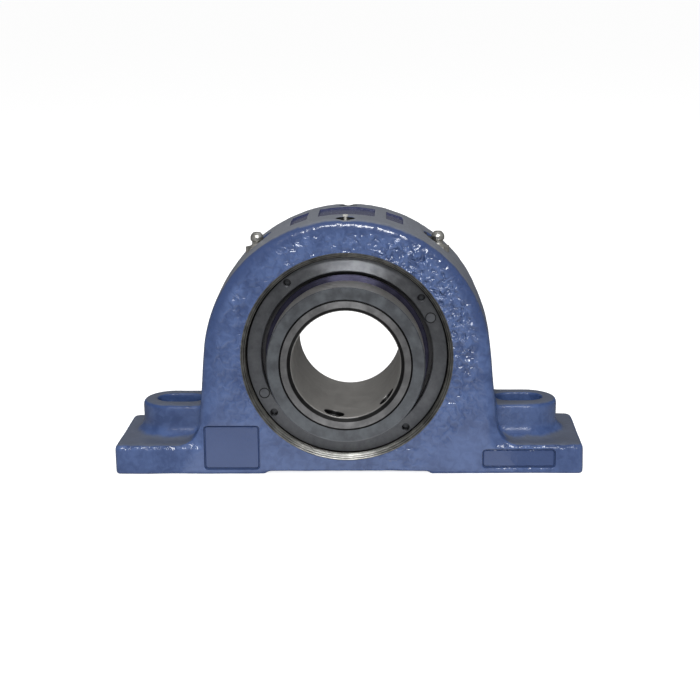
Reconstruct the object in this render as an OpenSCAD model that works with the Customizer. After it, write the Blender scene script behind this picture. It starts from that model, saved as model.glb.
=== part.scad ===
// Two-bolt pillow block with a self-aligning double-row roller bearing.
// X runs along the base, Y along the shaft and away from the collar, Z is up.
// The origin lies on the underside, below the shaft axis, half way through the housing.

/* [Base and feet] */
// Length of the base
base_len = 224.2; // [210:0.1:260]
// Depth of the base and of the housing along the shaft
base_w = 57.15; // [56:0.05:64]
// Height of the shaft axis above the underside
shaft_h = 57.15; // [56:0.05:66]
// Thickness of the feet
foot_h = 14.6; // [10:0.1:20]
// Rounding of the foot's top edges
foot_edge_r = 2.6; // [1:0.1:4]
// Rounding of the base's upright corners
foot_corner_r = 3.2; // [2:0.1:6]
// Radius of the fillet between foot and housing side
side_fillet_r = 9.5; // [4:0.5:12]
// Height of the raised middle of the underside
relief_h = 1.2; // [0.4:0.1:3]
// Length of the raised middle of the underside
relief_len = 79; // [50:1:120]

/* [Bolt slots] */
// Distance between the centres of the two slots
slot_spacing = 165.8; // [162:0.2:172]
// Width of a slot
slot_w = 15; // [12:0.1:17]
// Length of a slot from end to end
slot_len = 23; // [18:0.5:26]
// Wall of the boss round a slot
boss_wall = 7.6; // [5:0.1:9]
// Height of the boss above the foot
boss_h = 16.2; // [10:0.1:22]
// Rounding of the boss's top edge
boss_edge_r = 2.2; // [1:0.1:3]
// Radius of the fillet at the boss's foot
boss_fillet_r = 6.8; // [3:0.1:8]

/* [Arch] */
// How far the centre of the arch lies below the shaft axis
arch_drop = 2.25; // [0:0.05:4]
// How much larger the arch is in radius than the threaded mouth, at its front face
arch_wall = 17.75; // [15:0.05:22]
// How much further out the arch is at mid depth than at its faces
arch_draft = 0.6; // [0.2:0.1:3]
// Rounding of the arch's front and rear edges
arch_edge_r = 4; // [2:0.5:6]
// How much wider than the arch the sides are at the height of its centre
side_flare = 0.3; // [0.1:0.1:4]
// How much each side spreads from the arch's centre down to the underside
side_spread = 5.2; // [2:0.1:8]
// Width of the sunk fields on the crown
crown_field_w = 23; // [10:0.5:36]
// Depth of the sunk fields on the crown and on the front face
field_sink = 0.6; // [0.2:0.1:1]
// Length of the sunk field in the middle of the crown
mid_field_len = 27; // [10:1:30]
// Length of the sunk field on each side of the middle one
side_field_len = 8.6; // [5:0.2:12]
// Land between two sunk fields of the crown
field_land = 5.6; // [3:0.1:8]
// Width of the bare square field low on the front face
front_field_w = 26.9; // [15:0.1:28]
// Height of the bare square field
front_field_h = 22; // [10:0.5:24]
// Width of the bare plate field on the right foot
plate_field_w = 35; // [20:1:40]
// Height of the bare plate field
plate_field_h = 9.3; // [5:0.1:10]

/* [Bearing] */
// Shaft bore
shaft_d = 50.8; // [48:0.1:54]
// Wall of the inner ring
ring_wall = 5.27; // [4.6:0.01:6.5]
// How deep the raceways are cut into the inner ring
race_depth = 1.2; // [0.8:0.1:1.8]
// Roller diameter
roller_d = 10.2; // [9:0.1:11]
// Roller length
roller_len = 9; // [7:0.1:9.6]
// Room between the two rows of rollers
row_gap = 3.2; // [2.8:0.1:4]
// Rollers in one row
roller_count = 18; // [12:1:18]
// Play of a roller at each raceway
race_play = 0.03; // [0.01:0.01:0.08]
// Wall of the outer ring at mid width
outer_wall = 4.74; // [3.5:0.01:7]
// Width of the outer ring
outer_w = 23; // [22:0.5:26]
// Wall thickness of the roller cages
cage_t = 2.4; // [1.6:0.1:3]
// Thickness of the closed end of a cage
cage_end = 1.3; // [0.8:0.1:1.6]
// Radial height of the loose guide ring between the rows
guide_h = 5; // [3:0.1:6]
// How far the inner ring stands out in front of the housing
ring_front = 14.7; // [12:0.1:20]
// How far the inner ring stands out behind the rear cover
ring_rear = 2.7; // [1:0.1:6]

/* [Covers and seals] */
// How deep the covers lie below the housing faces
cover_recess = 4.9; // [3:0.1:7]
// How much larger the covers are in radius than the outer ring
cover_step = 3; // [2:0.1:5]
// Radial width of a cover's face
cover_face = 7.4; // [6.6:0.1:9]
// Widening of the threaded mouth at the housing faces
mouth_chamfer = 2.2; // [1:0.1:3]
// Pitch of the cover thread
thread_pitch = 1.5; // [1:0.25:2]
// Depth of the cover thread
thread_depth = 0.9; // [0.3:0.1:1]
// Diameter of a spanner hole
spanner_d = 3.8; // [2:0.1:4]
// Depth of a spanner hole
spanner_depth = 3; // [1:0.5:5]
// Diameter of a cover plug
plug_d = 5.2; // [3:0.1:5.6]
// Length of a cover plug
plug_len = 3; // [1:0.5:5]
// Thickness of a seal
seal_t = 3.2; // [2:0.1:4.5]
// Thickness of a slinger's disc
slinger_t = 1.2; // [0.8:0.1:2]
// Free width round a slinger
slinger_gap = 1.9; // [1:0.1:2.5]

/* [Collar and screws] */
// Wall of the locking collar
collar_wall = 6.08; // [5:0.01:9]
// Length of the locking collar
collar_len = 17.2; // [15:0.1:19]
// Distance of the set screws from the front end
screw_inset = 7.2; // [6.5:0.1:8.5]
// Diameter of a set screw
screw_d = 9.4; // [7:0.1:10]
// Length of a set screw
screw_len = 9.5; // [8:0.1:10]
// Width across the flats of a set screw's socket
socket_af = 4.76; // [3:0.01:5]
// How far a set screw's tip is drawn back from the shaft
screw_back = 1.6; // [0.5:0.1:2.5]

/* [Grease fittings and pins] */
// Distance of a grease fitting from the shaft plane
fitting_x = 43.5; // [40:0.1:43.6]
// Width across the flats of a fitting
fitting_af = 9.5; // [8:0.1:11.1]
// Diameter of a fitting's head
fitting_head_d = 6.3; // [5.8:0.1:6.8]
// Diameter of a fitting's thread
fitting_thread_d = 6.3; // [6:0.1:8]
// Depth of the spot face below the crown at the fitting's axis
spot_depth = 5.2; // [4.4:0.1:7]
// Diameter of the check ball
ball_d = 2.5; // [2.2:0.1:2.8]
// Diameter of a cover lock pin
pin_d = 1.5; // [1.2:0.1:2]
// Diameter of the recess round a lock pin's head
pin_recess_d = 9; // [6:0.5:10]

/* [Hidden] */
$fn = 96;
fit = 0.02;
run = 0.05;
free = 0.3;
big = 400;

// Inner ring, rollers and raceways
bore_r = shaft_d / 2;
ring_r = bore_r + ring_wall;
bore_chamfer = 2;
row_y = row_gap / 2 + roller_len / 2;
row_r = ring_r - race_depth + roller_d / 2 + race_play;
row_angle = atan2(row_y, row_r);
row_dist = sqrt(row_y * row_y + row_r * row_r);
sphere_r = row_dist + roller_d / 2 + race_play;
crown_r = sphere_r - 1;
crown_drop = crown_r - sqrt(crown_r * crown_r - roller_len * roller_len / 4);
roller_end_r = roller_d / 2 - crown_drop;
roller_in_y = row_y - roller_len / 2 * cos(row_angle) - roller_end_r * sin(row_angle);
roller_in_r = row_r + roller_len / 2 * sin(row_angle) - roller_end_r * cos(row_angle);
rib_y = row_y + (roller_len / 2 + free) * cos(row_angle);
outer_r = sphere_r + outer_wall;
guide_in_r = ring_r + 2 * run;
guide_out_r = guide_in_r + guide_h;

// Housing mouth, covers and what they hold
face_y = base_w / 2;
cover_r = outer_r + cover_step;
thread_r = cover_r + run;
mouth_r = thread_r + mouth_chamfer;
cover_y = face_y - cover_recess;
cover_t = cover_y - outer_w / 2;
cover_chamfer = 0.8;
cover_bore_r = cover_r - cover_face;
lip_y = 1.8;
lip_t = 2.2;
lip_r = ring_r + 6;
seal_y = lip_y + lip_t;
seal_lip_r = ring_r + 0.55;
slinger_r = cover_bore_r - slinger_gap;
slinger_rim = 2;
slinger_clear = 1.85;
slinger_y = outer_w / 2 + seal_y + seal_t + slinger_clear + slinger_rim;
spanner_r = (cover_bore_r + cover_r) / 2 + 0.5;
spanner_angle = 38.2;
plug_r = cover_bore_r + plug_d / 2 + 0.35;
plug_angle = 24.6;

// Arch and sides
arch_z = shaft_h - arch_drop;
arch_r = mouth_r + arch_wall;
arch_top = arch_z + arch_r;
crown_r_mid = arch_r + arch_draft;
side_x = arch_r + side_flare;
side_foot_x = side_x + side_spread;
side_angle = atan2(side_spread, arch_z);
mid_half_angle = asin(mid_field_len / 2 / crown_r_mid);
land_angle = 2 * asin(field_land / 2 / crown_r_mid);
side_field_angle = 2 * asin(side_field_len / 2 / crown_r_mid);
field_drop = arch_draft * crown_field_w / (base_w - 2 * arch_edge_r);
front_field_x = -side_foot_x + 4.5;
front_field_z = 2.2;
plate_field_x = side_foot_x - 9.5;
plate_field_z = 2.8;
field_corner_r = 1.8;

// Feet and slots
slot_x = slot_spacing / 2;
slot_r = slot_w / 2;
slot_run = slot_len / 2 - slot_r;
boss_r = slot_r + boss_wall;
boss_x = slot_x + slot_run - 0.5;
boss_top = foot_h + boss_h;

// Collar and set screws
front_end_y = -face_y - ring_front;
rear_end_y = cover_y + ring_rear;
collar_in_r = ring_r + run;
collar_r = collar_in_r + collar_wall;
screw_y = front_end_y + screw_inset;
screw_tip_r = bore_r + screw_back;
screw_hole_d = screw_d + 2 * run;
screw_angles = [-103.5, -41.5];

// Grease fittings
fitting_hex_r = fitting_af / 2 / cos(30);
spot_r = fitting_hex_r + 1.6;
spot_z = arch_z + sqrt(pow(crown_r_mid, 2) - pow(fitting_x, 2)) - spot_depth;
hex_h = 3.1;
neck_r = fitting_head_d / 2 - 0.75;
neck_top = hex_h + 2.4;
head_h = 4.5;
fitting_h = neck_top + head_h;
thread_len = 6;
tap_depth = thread_len + 1.5;
channel_r = 2.2;
channel_z = shaft_h + sqrt(pow(outer_r, 2) - pow(fitting_x - channel_r, 2)) - 4;
check_bore_r = ball_d / 2 + 0.25;
inlet_r = ball_d / 2 - 0.35;
ball_z = fitting_h - 2.2;
outlet_lip = 0.8;
spring_wire = 0.35;
spring_r = check_bore_r - 0.2 - spring_wire / 2;
spring_turns = 9;
spring_low = outlet_lip - thread_len + spring_wire / 2 + 0.05;
spring_high = ball_z - ball_d / 2 - spring_wire / 2 - 0.02;

// Cover lock pins
pin_y = cover_y - 1.9;
pin_recess_z = arch_top - 1.5;
pin_head_z = arch_top + 1.3;
pin_home_z = pin_recess_z + 0.9;
pin_head_r = pin_d / 2 + 0.5;
pin_head_h = 0.8;
pin_low_z = shaft_h + cover_r - 1.5;

// Turns a shape made about the Z axis onto the shaft axis, its +Z pointing to the rear
module on_shaft() {
    translate([0, 0, shaft_h])
        rotate([-90, 0, 0])
            children();
}

// Places a shape made about +X at an angle round the shaft, 0 right and 90 up, seen from the front
module round_shaft(angle) {
    translate([0, 0, shaft_h])
        rotate([0, -angle, 0])
            children();
}

// Turns a shape made about the Z axis onto the axis of the arch
module on_arch() {
    translate([0, 0, -arch_drop])
        on_shaft()
            children();
}

// A rectangle with round corners, made of plain squares and circles
module round_rect(w, h, r) {
    translate([r, 0])
        square([w - 2 * r, h]);
    translate([0, r])
        square([w, h - 2 * r]);
    for (x = [r, w - r], y = [r, h - r])
        translate([x, y])
            circle(r);
}

// Arch, sides and the part of the block between the feet
module block_shell() {
    hull() {
        for (s = [-1, 1]) {
            on_arch()
                translate([0, 0, s * (face_y - arch_edge_r)])
                    rotate([0, 0, 180])
                        rotate_extrude(angle = 180)
                            translate([arch_r - arch_edge_r, 0])
                                circle(arch_edge_r, $fn = 32);
            for (t = [-1, 1]) {
                translate([t * (side_x - arch_edge_r), s * (face_y - arch_edge_r), arch_z])
                    cylinder(r = arch_edge_r, h = 0.01, $fn = 32);
                translate([t * (side_foot_x - arch_edge_r), s * (face_y - arch_edge_r), 0])
                    cylinder(r = arch_edge_r, h = 0.01, $fn = 32);
            }
        }
        on_arch()
            rotate([0, 0, 180])
                rotate_extrude(angle = 180)
                    translate([0, -0.5])
                        square([crown_r_mid, 1]);
        translate([-side_x - arch_draft, -0.5, arch_z])
            cube([2 * (side_x + arch_draft), 1, 0.01]);
        translate([-side_foot_x - arch_draft, -0.5, 0])
            cube([2 * (side_foot_x + arch_draft), 1, 0.01]);
    }
}

// Base plate with round corners and round top edges
module base_plate() {
    hull()
        for (s = [-1, 1], t = [-1, 1])
            translate([s * (base_len / 2 - foot_corner_r), t * (face_y - foot_corner_r), 0]) {
                cylinder(r = foot_corner_r, h = 1, $fn = 32);
                translate([0, 0, foot_h - foot_edge_r])
                    rotate_extrude($fn = 32)
                        intersection() {
                            translate([foot_corner_r - foot_edge_r, 0])
                                circle(foot_edge_r, $fn = 32);
                            translate([0, -foot_edge_r])
                                square(2 * foot_edge_r + foot_corner_r);
                        }
            }
}

// Fillets where the housing sides meet the feet
module side_fillets() {
    cz = foot_h + side_fillet_r;
    cx = side_x + (arch_z - cz) * tan(side_angle) + side_fillet_r / cos(side_angle);
    for (s = [0, 1])
        mirror([s, 0, 0])
            translate([0, face_y - 1.2, 0])
                rotate([90, 0, 0])
                    linear_extrude(base_w - 2.4)
                        difference() {
                            translate([side_x - 6, foot_h - 4])
                                square([cx - side_x + 6, side_fillet_r + 4]);
                            translate([cx, cz])
                                circle(side_fillet_r);
                        }
}

// Half section of a boss: wall, round top edge and fillet at the foot
module boss_section() {
    difference() {
        translate([0, foot_h - 3])
            square([boss_r + boss_fillet_r, 3 + boss_fillet_r]);
        translate([boss_r + boss_fillet_r, foot_h + boss_fillet_r])
            circle(boss_fillet_r);
    }
    translate([0, foot_h])
        square([boss_r, boss_h - boss_edge_r]);
    translate([0, foot_h])
        square([boss_r - boss_edge_r, boss_h]);
    translate([boss_r - boss_edge_r, boss_top - boss_edge_r])
        circle(boss_edge_r, $fn = 48);
}

// Bosses round the slots, running into the housing sides
module bosses() {
    for (s = [0, 1])
        mirror([s, 0, 0]) {
            translate([boss_x, 0, 0])
                rotate_extrude()
                    boss_section();
            for (t = [0, 1])
                mirror([0, t, 0])
                    translate([boss_x, 0, 0])
                        rotate([90, 0, -90])
                            linear_extrude(boss_x - side_x + 8)
                                boss_section();
        }
}

// Cuts one sunk field into the crown between two angles, its floor along the crown's draft
module crown_field(from, to) {
    floor_r = crown_r_mid - field_sink;
    out_r = crown_r_mid + field_sink;
    on_arch()
        rotate([0, 0, -to])
            rotate_extrude(angle = to - from)
                polygon([
                    [floor_r - field_drop, -crown_field_w / 2],
                    [out_r, -crown_field_w / 2],
                    [out_r, crown_field_w / 2],
                    [floor_r - field_drop, crown_field_w / 2],
                    [floor_r, 0]
                ]);
}

// Bare sunk fields in a row on the crown
module crown_fields() {
    near = mid_half_angle + land_angle;
    far = near + side_field_angle;
    crown_field(90 - mid_half_angle, 90 + mid_half_angle);
    crown_field(90 + near, 90 + far);
    crown_field(90 - far, 90 - near);
}

// Bare sunk fields on the front face
module front_fields() {
    translate([front_field_x, -face_y + field_sink, front_field_z])
        rotate([90, 0, 0])
            linear_extrude(field_sink + 1)
                round_rect(front_field_w, front_field_h, field_corner_r);
    translate([plate_field_x, -face_y + field_sink, plate_field_z])
        rotate([90, 0, 0])
            linear_extrude(field_sink + 1)
                round_rect(plate_field_w, plate_field_h, field_corner_r);
}

// Seat of the outer ring, threaded mouths and their flared edges
module bearing_cavity() {
    on_shaft() {
        cylinder(r = outer_r + fit, h = big, center = true);
        for (s = [0, 1])
            mirror([0, 0, s]) {
                translate([0, 0, outer_w / 2])
                    cylinder(r = thread_r, h = big);
                translate([0, 0, face_y - mouth_chamfer / 2])
                    cylinder(r1 = thread_r, r2 = mouth_r, h = mouth_chamfer / 2 + 0.001);
                for (k = [0 : floor((cover_recess - mouth_chamfer / 2) / thread_pitch) + 1])
                    translate([0, 0, face_y - mouth_chamfer / 2 - (k + 0.5) * thread_pitch])
                        thread_groove();
            }
    }
}

// One turn of the thread, cut as a plain ring groove
module thread_groove() {
    rotate_extrude()
        polygon([
            [thread_r - 0.5, -thread_pitch * 0.4],
            [thread_r, -thread_pitch * 0.4],
            [thread_r + thread_depth, -thread_pitch * 0.06],
            [thread_r + thread_depth, thread_pitch * 0.06],
            [thread_r, thread_pitch * 0.4],
            [thread_r - 0.5, thread_pitch * 0.4]
        ]);
}

module slot_cuts() {
    for (s = [-1, 1])
        translate([s * slot_x, 0, -1]) {
            for (t = [-1, 1])
                translate([t * slot_run, 0, 0])
                    cylinder(r = slot_r, h = boss_top + 12);
            translate([-slot_run, -slot_r, 0])
                cube([2 * slot_run, slot_w, boss_top + 12]);
        }
}

// Spot faces, tapped holes and the channels down to the outer ring's groove
module fitting_cuts() {
    for (s = [-1, 1])
        translate([s * fitting_x, 0, 0]) {
            translate([0, 0, spot_z])
                cylinder(r = spot_r, h = big);
            translate([0, 0, spot_z - tap_depth])
                cylinder(d = fitting_thread_d + 2 * run, h = big);
            translate([0, 0, channel_z])
                cylinder(r = channel_r, h = spot_z - channel_z);
        }
}

module pin_cuts() {
    for (s = [-1, 1])
        translate([0, s * pin_y, 0]) {
            translate([0, 0, shaft_h + outer_r])
                cylinder(d = pin_d + 2 * fit, h = big);
            translate([0, 0, pin_recess_z])
                cylinder(d = pin_recess_d, h = big);
        }
}

// Step under the raised middle of the base
module underside_relief() {
    translate([0, base_w, 0])
        rotate([90, 0, 0])
            linear_extrude(2 * base_w)
                polygon([
                    [-relief_len / 2 - 0.1, -0.1],
                    [relief_len / 2 + 0.1, -0.1],
                    [relief_len / 2 - relief_h, relief_h],
                    [relief_h - relief_len / 2, relief_h]
                ]);
}

module housing() {
    color("#4d619a")
        difference() {
            union() {
                block_shell();
                base_plate();
                side_fillets();
                bosses();
            }
            bearing_cavity();
            slot_cuts();
            fitting_cuts();
            pin_cuts();
            crown_fields();
            front_fields();
            underside_relief();
        }
}

// Threaded cover ring: presses on the outer ring and holds the seal
module cover(side) {
    color("#45474b")
        difference() {
            on_shaft()
                mirror([0, 0, side < 0 ? 1 : 0])
                    translate([0, 0, outer_w / 2])
                        rotate_extrude()
                            polygon([
                                [cover_bore_r + 1.2, 0],
                                [cover_r, 0],
                                [cover_r, cover_t - cover_chamfer],
                                [cover_r - cover_chamfer, cover_t],
                                [cover_bore_r + 0.4, cover_t],
                                [cover_bore_r, cover_t - 0.4],
                                [cover_bore_r, seal_y],
                                [lip_r, seal_y],
                                [lip_r, lip_y],
                                [cover_bore_r + 1.2, lip_y]
                            ]);
            for (k = [0 : 3])
                round_shaft(spanner_angle + 90 * k)
                    translate([spanner_r, side * (cover_y - spanner_depth), 0])
                        rotate([-90 * side, 0, 0])
                            cylinder(d = spanner_d, h = 10);
            for (k = [0, 1])
                round_shaft(plug_angle + 180 * k)
                    translate([plug_r, side * (cover_y - plug_len), 0])
                        rotate([-90 * side, 0, 0])
                            cylinder(d = plug_d + 2 * fit, h = 10);
            translate([0, side * pin_y, pin_low_z - 0.2])
                cylinder(d = pin_d + 2 * fit, h = 10);
        }
}

module front_cover() {
    cover(-1);
}

module rear_cover() {
    cover(1);
}

module cover_plugs(side) {
    color("#55585c")
        for (k = [0, 1])
            round_shaft(plug_angle + 180 * k)
                translate([plug_r, side * (cover_y - plug_len), 0])
                    rotate([-90 * side, 0, 0])
                        cylinder(d = plug_d, h = plug_len - 0.1);
}

module front_cover_plugs() {
    cover_plugs(-1);
}

module rear_cover_plugs() {
    cover_plugs(1);
}

// Headed pin through the crown into the cover's thread, its head at a given height
module lock_pin(side, head_z) {
    color("#c9cbc8")
        translate([0, side * pin_y, 0]) {
            translate([0, 0, pin_low_z])
                cylinder(d = pin_d, h = head_z - pin_low_z - pin_head_h / 2);
            translate([0, 0, head_z - pin_head_h])
                cylinder(r = pin_head_r, h = pin_head_h);
        }
}

// The front pin stands proud, ready to be drawn
module front_lock_pin() {
    lock_pin(-1, pin_head_z);
}

// The rear pin is driven home in its recess
module rear_lock_pin() {
    lock_pin(1, pin_home_z);
}

// Rubber seal held behind the cover's face, its lip just clear of the tilting ring
module seal(side) {
    color("#1d1d20")
        on_shaft()
            mirror([0, 0, side < 0 ? 1 : 0])
                translate([0, 0, outer_w / 2 + seal_y])
                    rotate_extrude()
                        polygon([
                            [seal_lip_r, seal_t * 0.4],
                            [seal_lip_r, seal_t * 0.6],
                            [seal_lip_r + 2.2, seal_t],
                            [cover_bore_r - fit, seal_t],
                            [cover_bore_r - fit, 0],
                            [seal_lip_r + 2.2, 0]
                        ]);
}

module front_seal() {
    seal(-1);
}

module rear_seal() {
    seal(1);
}

// Pressed steel slinger that turns with the inner ring
module slinger(side) {
    color("#4a4856")
        on_shaft()
            mirror([0, 0, side < 0 ? 1 : 0])
                translate([0, 0, slinger_y])
                    rotate_extrude()
                        polygon([
                            [ring_r + fit, 0],
                            [slinger_r - 0.5, 0],
                            [slinger_r, -0.5],
                            [slinger_r, -slinger_rim],
                            [slinger_r - slinger_t, -slinger_rim],
                            [slinger_r - slinger_t, -slinger_t],
                            [ring_r + fit, -slinger_t]
                        ]);
}

module front_slinger() {
    slinger(-1);
}

module rear_slinger() {
    slinger(1);
}

// Outer ring: spherical raceway inside, grease groove and three holes outside
module outer_ring() {
    color("#8b8d90")
        difference() {
            on_shaft()
                cylinder(r = outer_r, h = outer_w, center = true);
            translate([0, 0, shaft_h])
                sphere(sphere_r);
            on_shaft()
                rotate_extrude()
                    translate([outer_r - 1.2, -3])
                        square([3, 6]);
            for (k = [0 : 2])
                round_shaft(90 + 120 * k)
                    rotate([0, 90, 0])
                        cylinder(d = 2.5, h = outer_r + 5);
        }
}

// Loose ring that keeps the two rows of rollers apart
module guide_ring() {
    slope = tan(row_angle);
    low_y = roller_in_y + (guide_in_r - roller_in_r) * slope - free / 2;
    high_y = roller_in_y + (guide_out_r - roller_in_r) * slope - free / 2;
    color("#a9834a")
        on_shaft()
            rotate_extrude()
                polygon([
                    [guide_in_r, -low_y],
                    [guide_out_r, -high_y],
                    [guide_out_r, high_y],
                    [guide_in_r, low_y]
                ]);
}

// Places a shape, made along Z, at each roller of one row, its +Z pointing to mid width
module each_roller(side) {
    for (k = [0 : roller_count - 1])
        round_shaft(90 + 360 / roller_count * (k + (side < 0 ? 0 : 0.5)))
            translate([row_r, side * row_y, 0])
                rotate([0, 0, -side * (90 - row_angle)])
                    rotate([0, 90, 0])
                        children();
}

// Barrel roller with its two flat ends
module roller() {
    rotate_extrude()
        intersection() {
            translate([0, -roller_len / 2])
                square([roller_d, roller_len]);
            translate([roller_d / 2 - crown_r, 0])
                circle(crown_r, $fn = 360);
        }
}

module rollers(side) {
    color("#b7babd")
        each_roller(side)
            roller();
}

module front_rollers() {
    rollers(-1);
}

module rear_rollers() {
    rollers(1);
}

// Comb cage: a closed outer end with fingers between the rollers
module cage(side) {
    color("#b08d4c")
        difference() {
            on_shaft()
                mirror([0, 0, side < 0 ? 1 : 0])
                    rotate_extrude()
                        translate([row_r, row_y])
                            rotate(row_angle)
                                translate([-cage_t / 2, 0.6 - roller_len / 2])
                                    square([cage_t, roller_len - 0.6 + free + cage_end]);
            each_roller(side)
                translate([0, 0, -roller_len / 2 - free])
                    cylinder(d = roller_d + free, h = roller_len + 2 + free);
        }
}

module front_cage() {
    cage(-1);
}

module rear_cage() {
    cage(1);
}

// Section of the inner ring, radius first, shaft direction second
module inner_ring_section() {
    contact_y = (row_dist - roller_d / 2 - race_play) * sin(row_angle);
    contact_r = (row_dist - roller_d / 2 - race_play) * cos(row_angle);
    difference() {
        polygon([
            [bore_r, front_end_y + bore_chamfer],
            [bore_r + bore_chamfer, front_end_y],
            [ring_r - 0.4, front_end_y],
            [ring_r, front_end_y + 0.4],
            [ring_r, rear_end_y - 0.6],
            [ring_r - 0.6, rear_end_y],
            [bore_r + bore_chamfer, rear_end_y],
            [bore_r, rear_end_y - bore_chamfer]
        ]);
        for (s = [0, 1])
            mirror([0, s])
                intersection() {
                    translate([bore_r, roller_in_y - free / 2])
                        square([ring_wall + 5, rib_y - roller_in_y + free / 2]);
                    translate([contact_r + sphere_r * cos(row_angle), contact_y + sphere_r * sin(row_angle)])
                        circle(sphere_r, $fn = 360);
                }
    }
}

module inner_ring() {
    color("#3e4043")
        difference() {
            on_shaft()
                rotate_extrude()
                    inner_ring_section();
            for (a = screw_angles)
                round_shaft(a)
                    translate([0, screw_y, 0])
                        rotate([0, 90, 0]) {
                            cylinder(d = screw_hole_d + 0.4, h = ring_r + 5);
                            cylinder(d1 = screw_d + 6, d2 = screw_d - 0.2, h = bore_r + 2);
                        }
        }
}

module locking_collar() {
    color("#393b3e")
        difference() {
            on_shaft()
                translate([0, 0, front_end_y])
                    rotate_extrude()
                        polygon([
                            [collar_in_r + 0.4, 0],
                            [collar_r - 0.5, 0],
                            [collar_r, 0.5],
                            [collar_r, collar_len - 0.5],
                            [collar_r - 0.5, collar_len],
                            [collar_in_r + 0.3, collar_len],
                            [collar_in_r, collar_len - 0.3],
                            [collar_in_r, 0.4]
                        ]);
            for (a = screw_angles)
                round_shaft(a)
                    translate([0, screw_y, 0])
                        rotate([0, 90, 0])
                            cylinder(d = screw_hole_d, h = collar_r + 5);
        }
}

// Socket set screw with a cup point, drawn back from the shaft
module set_screw(angle) {
    color("#2f3032")
        round_shaft(angle)
            translate([screw_tip_r, screw_y, 0])
                rotate([0, 90, 0])
                    difference() {
                        rotate_extrude()
                            polygon([
                                [0, 0.8],
                                [1.2, 0],
                                [screw_d / 2 - 1, 0],
                                [screw_d / 2, 1],
                                [screw_d / 2, screw_len - 0.4],
                                [screw_d / 2 - 0.4, screw_len],
                                [0, screw_len]
                            ]);
                        translate([0, 0, screw_len - 4.5])
                            cylinder(d = socket_af / cos(30), h = 5, $fn = 6);
                    }
}

module set_screw_left() {
    set_screw(screw_angles[0]);
}

module set_screw_right() {
    set_screw(screw_angles[1]);
}

// Grease fitting: hexagon, neck and ball head over a threaded shank
module grease_fitting(side) {
    head_r = fitting_head_d / 2;
    color("#a3a39c")
        translate([side * fitting_x, 0, spot_z])
            difference() {
                union() {
                    cylinder(r = fitting_hex_r, h = hex_h, $fn = 6);
                    translate([0, 0, -thread_len])
                        cylinder(d = fitting_thread_d, h = thread_len + 1);
                    rotate_extrude()
                        polygon([
                            [0, 0],
                            [fitting_af / 2 - 0.8, 0],
                            [fitting_af / 2 - 0.8, hex_h],
                            [neck_r + 0.3, hex_h + 0.9],
                            [neck_r, neck_top - 1],
                            [neck_r, neck_top],
                            [head_r, neck_top + 0.9],
                            [head_r, neck_top + 2.4],
                            [head_r - 0.4, neck_top + 3.4],
                            [head_r - 1.4, fitting_h],
                            [0, fitting_h]
                        ]);
                }
                translate([0, 0, outlet_lip - thread_len])
                    cylinder(r = check_bore_r, h = thread_len - outlet_lip + ball_z);
                translate([0, 0, ball_z])
                    cylinder(r1 = check_bore_r, r2 = inlet_r, h = 1.2);
                translate([0, 0, -thread_len - 1])
                    cylinder(r = inlet_r, h = thread_len + fitting_h + 2);
            }
}

module grease_fitting_left() {
    grease_fitting(-1);
}

module grease_fitting_right() {
    grease_fitting(1);
}

module check_ball(side) {
    color("#d2d4d6")
        translate([side * fitting_x, 0, spot_z + ball_z])
            sphere(d = ball_d);
}

module check_ball_left() {
    check_ball(-1);
}

module check_ball_right() {
    check_ball(1);
}

// Coil spring under the check ball, swept along its helix
module check_spring(side) {
    rings = spring_turns * 12;
    sides = 6;
    rise = (spring_high - spring_low) / rings;
    points = [
        for (i = [0 : rings], j = [0 : sides - 1])
            let (
                turn = i * 360 / 12,
                around = j * 360 / sides,
                reach = spring_r + spring_wire / 2 * cos(around)
            )
            [reach * cos(turn), reach * sin(turn), spring_low + i * rise + spring_wire / 2 * sin(around)]
    ];
    walls = [
        for (i = [0 : rings - 1], j = [0 : sides - 1])
            [
                i * sides + j,
                (i + 1) * sides + j,
                (i + 1) * sides + (j + 1) % sides,
                i * sides + (j + 1) % sides
            ]
    ];
    low_end = [for (j = [0 : sides - 1]) j];
    high_end = [for (j = [sides - 1 : -1 : 0]) rings * sides + j];
    color("#9a9c9e")
        translate([side * fitting_x, 0, spot_z])
            polyhedron(points, concat(walls, [low_end, high_end]), convexity = 10);
}

module check_spring_left() {
    check_spring(-1);
}

module check_spring_right() {
    check_spring(1);
}

housing();
front_cover();
rear_cover();
front_cover_plugs();
rear_cover_plugs();
front_lock_pin();
rear_lock_pin();
front_seal();
rear_seal();
front_slinger();
rear_slinger();
outer_ring();
guide_ring();
front_cage();
rear_cage();
front_rollers();
rear_rollers();
inner_ring();
locking_collar();
set_screw_left();
set_screw_right();
grease_fitting_left();
grease_fitting_right();
check_ball_left();
check_ball_right();
check_spring_left();
check_spring_right();
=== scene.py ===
"""Looks of a two-bolt pillow block bearing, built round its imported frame.

The block is a sand casting: it is shaped rough first and machined afterwards, as the real one is.
Every other piece keeps its solid from the frame and gets the finish of its material.
"""

import math

import bmesh
import bpy
import numpy as np
from mathutils import Matrix, Vector, noise


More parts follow.
